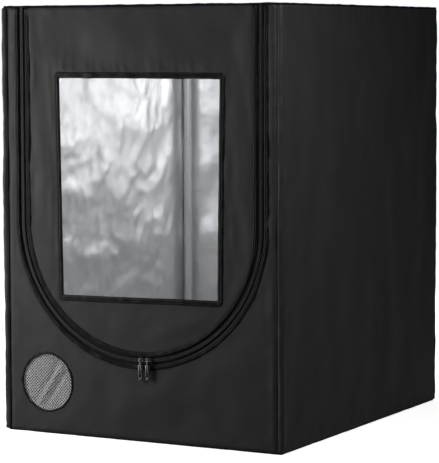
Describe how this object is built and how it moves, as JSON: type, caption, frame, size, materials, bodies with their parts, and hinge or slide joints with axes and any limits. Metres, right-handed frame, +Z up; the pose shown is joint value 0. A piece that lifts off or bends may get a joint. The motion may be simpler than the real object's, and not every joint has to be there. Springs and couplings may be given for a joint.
{
  "type": "printer enclosure tent",
  "caption": "Upright black fabric enclosure on a tube frame, foil lined, with a U-shaped zipped door, clear window, round mesh vent and drawstring cable port.",
  "frame": {"origin": "centre of the floor's underside", "axes": "+Z up, the zipped door faces -Y, +X is to the right of someone facing the door"},
  "size_m": [0.55, 0.6812, 0.75],
  "materials": {
    "cover_cloth": "black coated Oxford cloth, plain weave, foil lining laminated inside",
    "floor_cloth": "black coated cloth, foil lining inside",
    "binding_cloth": "black folded binding strip, stitched",
    "zip_tape": "black woven zip tape",
    "zip_coil": "black nylon coil",
    "zip_metal": "dark plated zinc",
    "clear_sheet": "clear flexible vinyl sheet",
    "vent_net": "grey open diamond net",
    "foil_cloth": "crinkled silver foil face on cloth",
    "hook_and_loop": "black hook-and-loop tape",
    "tube_paint": "pale grey powder coat on steel tube",
    "connector_plastic": "black moulded plastic, fine texture",
    "cord_cloth": "black braided cord",
    "lock_plastic": "black moulded plastic",
    "spring_steel": "bright spring steel"
  },
  "bodies": {
    "tent": {"connector_bottom_front_left": "connector_plastic", "connector_bottom_front_right": "connector_plastic", "connector_bottom_back_right": "connector_plastic", "connector_bottom_back_left": "connector_plastic", "tube_bottom_front": "tube_paint", "tube_bottom_back": "tube_paint", "tube_bottom_left": "tube_paint", "tube_bottom_right": "tube_paint", "connector_top_front_left": "connector_plastic", "connector_top_front_right": "connector_plastic", "connector_top_back_right": "connector_plastic", "connector_top_back_left": "connector_plastic", "tube_top_front": "tube_paint", "tube_top_back": "tube_paint", "tube_top_left": "tube_paint", "tube_top_right": "tube_paint", "post_front_left": "tube_paint", "post_front_right": "tube_paint", "post_back_right": "tube_paint", "post_back_left": "tube_paint", "front_panel": "cover_cloth", "back_panel": "cover_cloth", "left_panel": "cover_cloth", "right_panel": "cover_cloth", "roof_panel": "cover_cloth", "floor_panel": "floor_cloth", "cover_edge_binding": "binding_cloth", "cover_zip_tape": "zip_tape", "cover_zip_coil": "zip_coil", "vent_ring": "binding_cloth", "vent_mesh": "vent_net", "vent_loop_patch": "hook_and_loop", "cable_port_ring": "binding_cloth", "cable_port_sleeve": "cover_cloth", "cable_port_drawcord": "cord_cloth"},
    "door": {"door_panel": "cover_cloth", "door_window": "clear_sheet", "window_binding": "binding_cloth", "door_edge_binding": "binding_cloth", "door_zip_tape": "zip_tape", "door_zip_coil": "zip_coil"},
    "left_slider": {"zip_slider_left": "zip_metal"},
    "right_slider": {"zip_slider_right": "zip_metal"},
    "left_pull": {"zip_pull_left": "zip_metal"},
    "right_pull": {"zip_pull_right": "zip_metal"},
    "vent_flap": {"vent_flap": "foil_cloth", "vent_hook_patch": "hook_and_loop"},
    "cord_lock": {"cord_lock_barrel": "lock_plastic", "cord_lock_spring": "spring_steel"},
    "lock_button": {"cord_lock_plunger": "lock_plastic"}
  },
  "joints": [
    {"name": "door_lift", "type": "hinge", "parent": "tent", "child": "door", "pos_m": [0, -0.327, 0.75], "axis": [1, 0, 0], "range_deg": [-266, 0]},
    {"name": "zip_left_run", "type": "hinge", "parent": "door", "child": "left_slider", "pos_m": [0, -0.325, 0.376], "axis": [0, 1, 0], "range_deg": [0, 89]},
    {"name": "zip_right_run", "type": "hinge", "parent": "door", "child": "right_slider", "pos_m": [0, -0.325, 0.376], "axis": [0, 1, 0], "range_deg": [-83, 0]},
    {"name": "left_pull_swing", "type": "hinge", "parent": "left_slider", "child": "left_pull", "pos_m": [0.006, -0.331, 0.14108], "axis": [1, 0, 0], "range_deg": [-170, 3]},
    {"name": "right_pull_swing", "type": "hinge", "parent": "right_slider", "child": "right_pull", "pos_m": [0.01998, -0.331, 0.14185], "axis": [1, 0, 0], "range_deg": [-170, 3]},
    {"name": "vent_flap_fold", "type": "hinge", "parent": "tent", "child": "vent_flap", "pos_m": [-0.188, -0.321, 0.15], "axis": [1, 0, 0], "range_deg": [0, 100]},
    {"name": "cord_lock_slide", "type": "slide", "parent": "tent", "child": "cord_lock", "axis": [0, 0, -1], "range_m": [-0.006, 0.018]},
    {"name": "lock_button_press", "type": "slide", "parent": "cord_lock", "child": "lock_button", "axis": [-1, 0, 0], "range_m": [0, 0.003], "stiffness_N_per_m": 600, "springref_m": -0.002, "deforming": ["cord_lock_spring"]}
  ]
}
